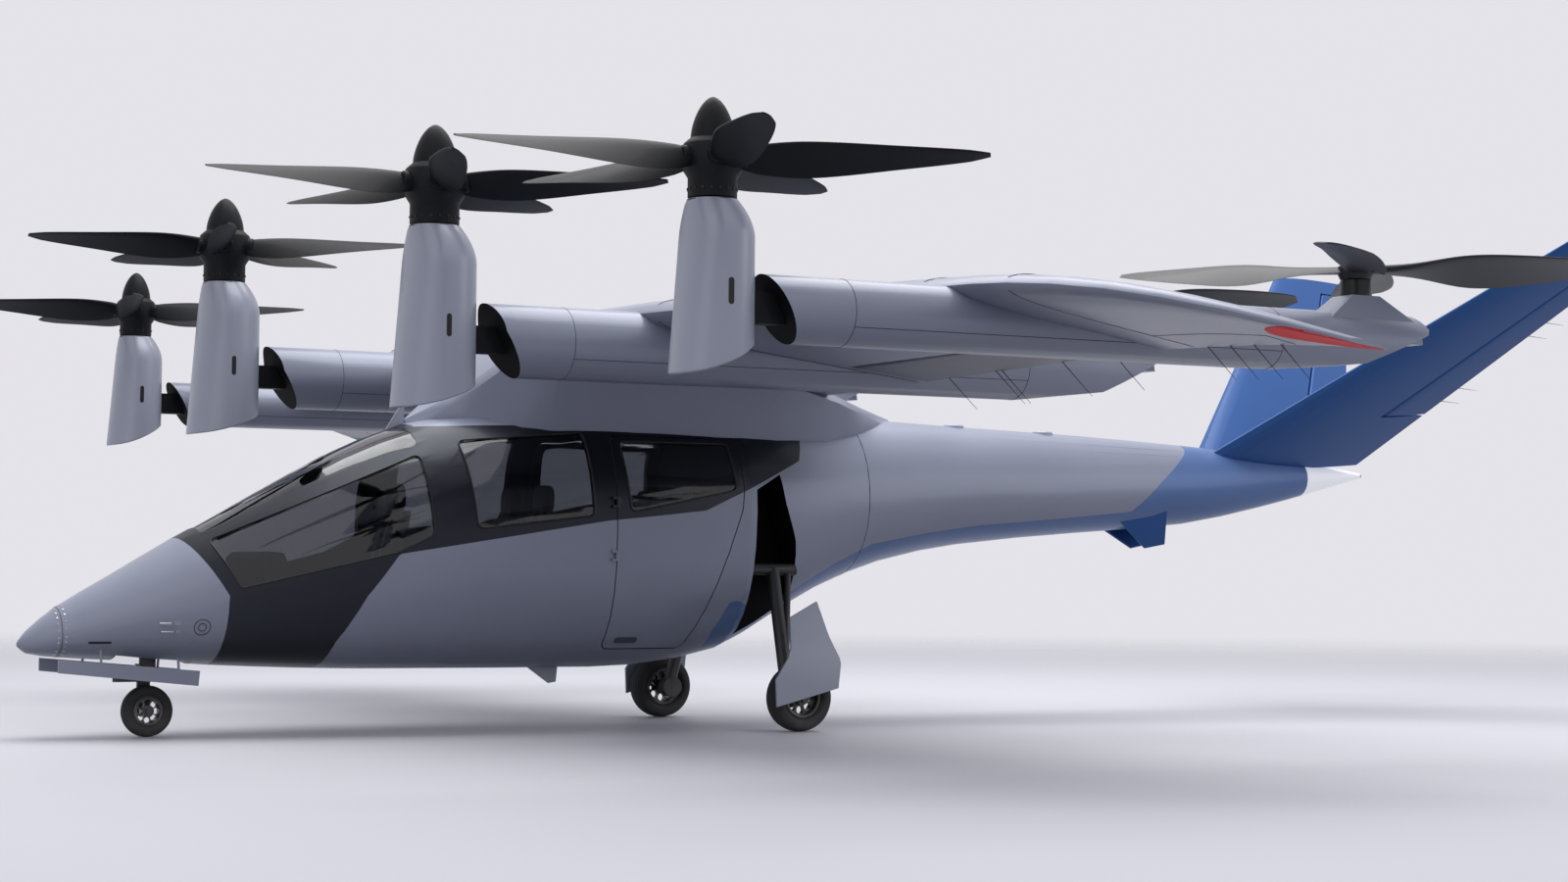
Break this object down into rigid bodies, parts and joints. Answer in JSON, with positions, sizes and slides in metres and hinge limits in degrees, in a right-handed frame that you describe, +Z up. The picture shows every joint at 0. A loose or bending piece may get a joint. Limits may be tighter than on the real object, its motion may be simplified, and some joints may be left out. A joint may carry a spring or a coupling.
{
  "type": "electric air taxi",
  "caption": "High-wing electric air taxi with tilting propellers ahead of the wing, lift rotors on booms behind it, a V tail, side doors and fixed tricycle gear.",
  "frame": {"origin": "on the ground under the middle of the outline", "axes": "+X forward, +Y to the left wing tip, +Z up"},
  "size_m": [13.4, 15, 4.106],
  "materials": {
    "paint": "satin silver-grey paint on composite skin",
    "pale": "gloss light grey paint",
    "dark": "gloss black composite",
    "carbon": "satin black carbon composite",
    "blade_grey": "dark grey composite",
    "tint": "smoked glazing",
    "blue": "gloss deep blue paint",
    "gear": "black gear paint",
    "rim": "dark anodised wheel",
    "tire": "black rubber",
    "cabin": "dark cabin trim",
    "seat": "dark seat covers",
    "steel": "plain pins",
    "battery": "plain block"
  },
  "bodies": {
    "airframe": {"radome": "pale", "nose_shell": "paint", "cabin_shell": "paint", "windscreen": "tint", "cockpit_glass": "tint", "cabin_glass": "tint", "cabin_floor": "cabin", "instrument_panel": "cabin", "pilot_seat": "seat", "passenger_seats": "seat", "door_hinges": "steel", "tail_boom": "paint", "battery_pack": "battery", "wing_fairing": "paint", "wing": "paint", "inboard_booms": "paint", "outboard_booms": "paint", "tilt_arms": "carbon", "rotor_posts": "carbon", "fins": "blue", "ventral_fins": "blue", "antennas": "pale", "nose_gear_leg": "gear", "nose_gear_doors": "pale", "main_gear_legs": "gear", "leg_fairings": "pale"},
    "nose_steering": {"nose_fork": "gear"},
    "nose_wheel": {"nose_rim": "rim", "nose_tire": "tire"},
    "left_door": {"left_door": "paint", "left_door_glass": "tint"},
    "left_flap": {"left_flap": "paint"},
    "left_ruddervator": {"left_ruddervator": "blue"},
    "left_main_wheel": {"left_main_rim": "rim", "left_main_tire": "tire"},
    "inboard_left_nacelle": {"inboard_left_nacelle": "pale"},
    "inboard_left_prop": {"inboard_left_prop": "carbon"},
    "inboard_left_rotor": {"inboard_left_rotor": "blade_grey"},
    "outboard_left_nacelle": {"outboard_left_nacelle": "pale"},
    "outboard_left_prop": {"outboard_left_prop": "carbon"},
    "outboard_left_rotor": {"outboard_left_rotor": "blade_grey"},
    "right_door": {"right_door": "paint", "right_door_glass": "tint"},
    "right_flap": {"right_flap": "paint"},
    "right_ruddervator": {"right_ruddervator": "blue"},
    "right_main_wheel": {"right_main_rim": "rim", "right_main_tire": "tire"},
    "inboard_right_nacelle": {"inboard_right_nacelle": "pale"},
    "inboard_right_prop": {"inboard_right_prop": "carbon"},
    "inboard_right_rotor": {"inboard_right_rotor": "blade_grey"},
    "outboard_right_nacelle": {"outboard_right_nacelle": "pale"},
    "outboard_right_prop": {"outboard_right_prop": "carbon"},
    "outboard_right_rotor": {"outboard_right_rotor": "blade_grey"}
  },
  "joints": [
    {"name": "left_door_hinge", "type": "hinge", "parent": "airframe", "child": "left_door", "pos_m": [2.556, 0.8446, 1.4], "axis": [0, 0, -1], "range_deg": [0, 80]},
    {"name": "left_flap_hinge", "type": "hinge", "parent": "airframe", "child": "left_flap", "pos_m": [1.51246, 2.52, 2.67867], "axis": [-0.0507, -0.9987, 0.0076], "range_deg": [-15, 40]},
    {"name": "left_ruddervator_hinge", "type": "hinge", "parent": "airframe", "child": "left_ruddervator", "pos_m": [-5.02172, 0.516, 2.6102], "axis": [0.5723, -0.5868, -0.5729], "range_deg": [-25, 25]},
    {"name": "left_wheel_spin", "type": "hinge", "parent": "airframe", "child": "left_main_wheel", "pos_m": [1.2, 1.138, 0.25], "axis": [0, 1, 0], "continuous": true},
    {"name": "inboard_left_tilt", "type": "hinge", "parent": "airframe", "child": "inboard_left_nacelle", "pos_m": [4.569, 2.176, 2.7], "axis": [0, 1, 0], "range_deg": [0, 90]},
    {"name": "inboard_left_prop_spin", "type": "hinge", "parent": "inboard_left_nacelle", "child": "inboard_left_prop", "pos_m": [4.569, 2.176, 3.435], "axis": [0, 0, 1], "continuous": true},
    {"name": "inboard_left_rotor_spin", "type": "hinge", "parent": "airframe", "child": "inboard_left_rotor", "pos_m": [-0.73, 2.176, 3.1504], "axis": [0, 0, 1], "continuous": true},
    {"name": "outboard_left_tilt", "type": "hinge", "parent": "airframe", "child": "outboard_left_nacelle", "pos_m": [4.286, 5.549, 2.66], "axis": [0, 1, 0], "range_deg": [0, 90]},
    {"name": "outboard_left_prop_spin", "type": "hinge", "parent": "outboard_left_nacelle", "child": "outboard_left_prop", "pos_m": [4.286, 5.549, 3.252], "axis": [0, 0, 1], "continuous": true},
    {"name": "outboard_left_rotor_spin", "type": "hinge", "parent": "airframe", "child": "outboard_left_rotor", "pos_m": [-0.36, 5.549, 3.0604], "axis": [0, 0, 1], "continuous": true},
    {"name": "right_door_hinge", "type": "hinge", "parent": "airframe", "child": "right_door", "pos_m": [2.556, -0.8446, 1.4], "axis": [0, 0, 1], "range_deg": [0, 80]},
    {"name": "right_flap_hinge", "type": "hinge", "parent": "airframe", "child": "right_flap", "pos_m": [1.51246, -2.52, 2.67867], "axis": [0.0507, -0.9987, -0.0076], "range_deg": [-15, 40]},
    {"name": "right_ruddervator_hinge", "type": "hinge", "parent": "airframe", "child": "right_ruddervator", "pos_m": [-5.02172, -0.516, 2.6102], "axis": [-0.5723, -0.5868, 0.5729], "range_deg": [-25, 25]},
    {"name": "right_wheel_spin", "type": "hinge", "parent": "airframe", "child": "right_main_wheel", "pos_m": [1.2, -1.138, 0.25], "axis": [0, 1, 0], "continuous": true},
    {"name": "inboard_right_tilt", "type": "hinge", "parent": "airframe", "child": "inboard_right_nacelle", "pos_m": [4.569, -2.176, 2.7], "axis": [0, 1, 0], "range_deg": [0, 90]},
    {"name": "inboard_right_prop_spin", "type": "hinge", "parent": "inboard_right_nacelle", "child": "inboard_right_prop", "pos_m": [4.569, -2.176, 3.435], "axis": [0, 0, 1], "continuous": true},
    {"name": "inboard_right_rotor_spin", "type": "hinge", "parent": "airframe", "child": "inboard_right_rotor", "pos_m": [-0.73, -2.176, 3.1504], "axis": [0, 0, 1], "continuous": true},
    {"name": "outboard_right_tilt", "type": "hinge", "parent": "airframe", "child": "outboard_right_nacelle", "pos_m": [4.286, -5.549, 2.66], "axis": [0, 1, 0], "range_deg": [0, 90]},
    {"name": "outboard_right_prop_spin", "type": "hinge", "parent": "outboard_right_nacelle", "child": "outboard_right_prop", "pos_m": [4.286, -5.549, 3.252], "axis": [0, 0, 1], "continuous": true},
    {"name": "outboard_right_rotor_spin", "type": "hinge", "parent": "airframe", "child": "outboard_right_rotor", "pos_m": [-0.36, -5.549, 3.0604], "axis": [0, 0, 1], "continuous": true},
    {"name": "nose_steer", "type": "hinge", "parent": "airframe", "child": "nose_steering", "pos_m": [5.788, 0, 0.45], "axis": [0, 0, 1], "range_deg": [-60, 60]},
    {"name": "nose_wheel_spin", "type": "hinge", "parent": "nose_steering", "child": "nose_wheel", "pos_m": [5.788, 0, 0.18], "axis": [0, 1, 0], "continuous": true}
  ]
}
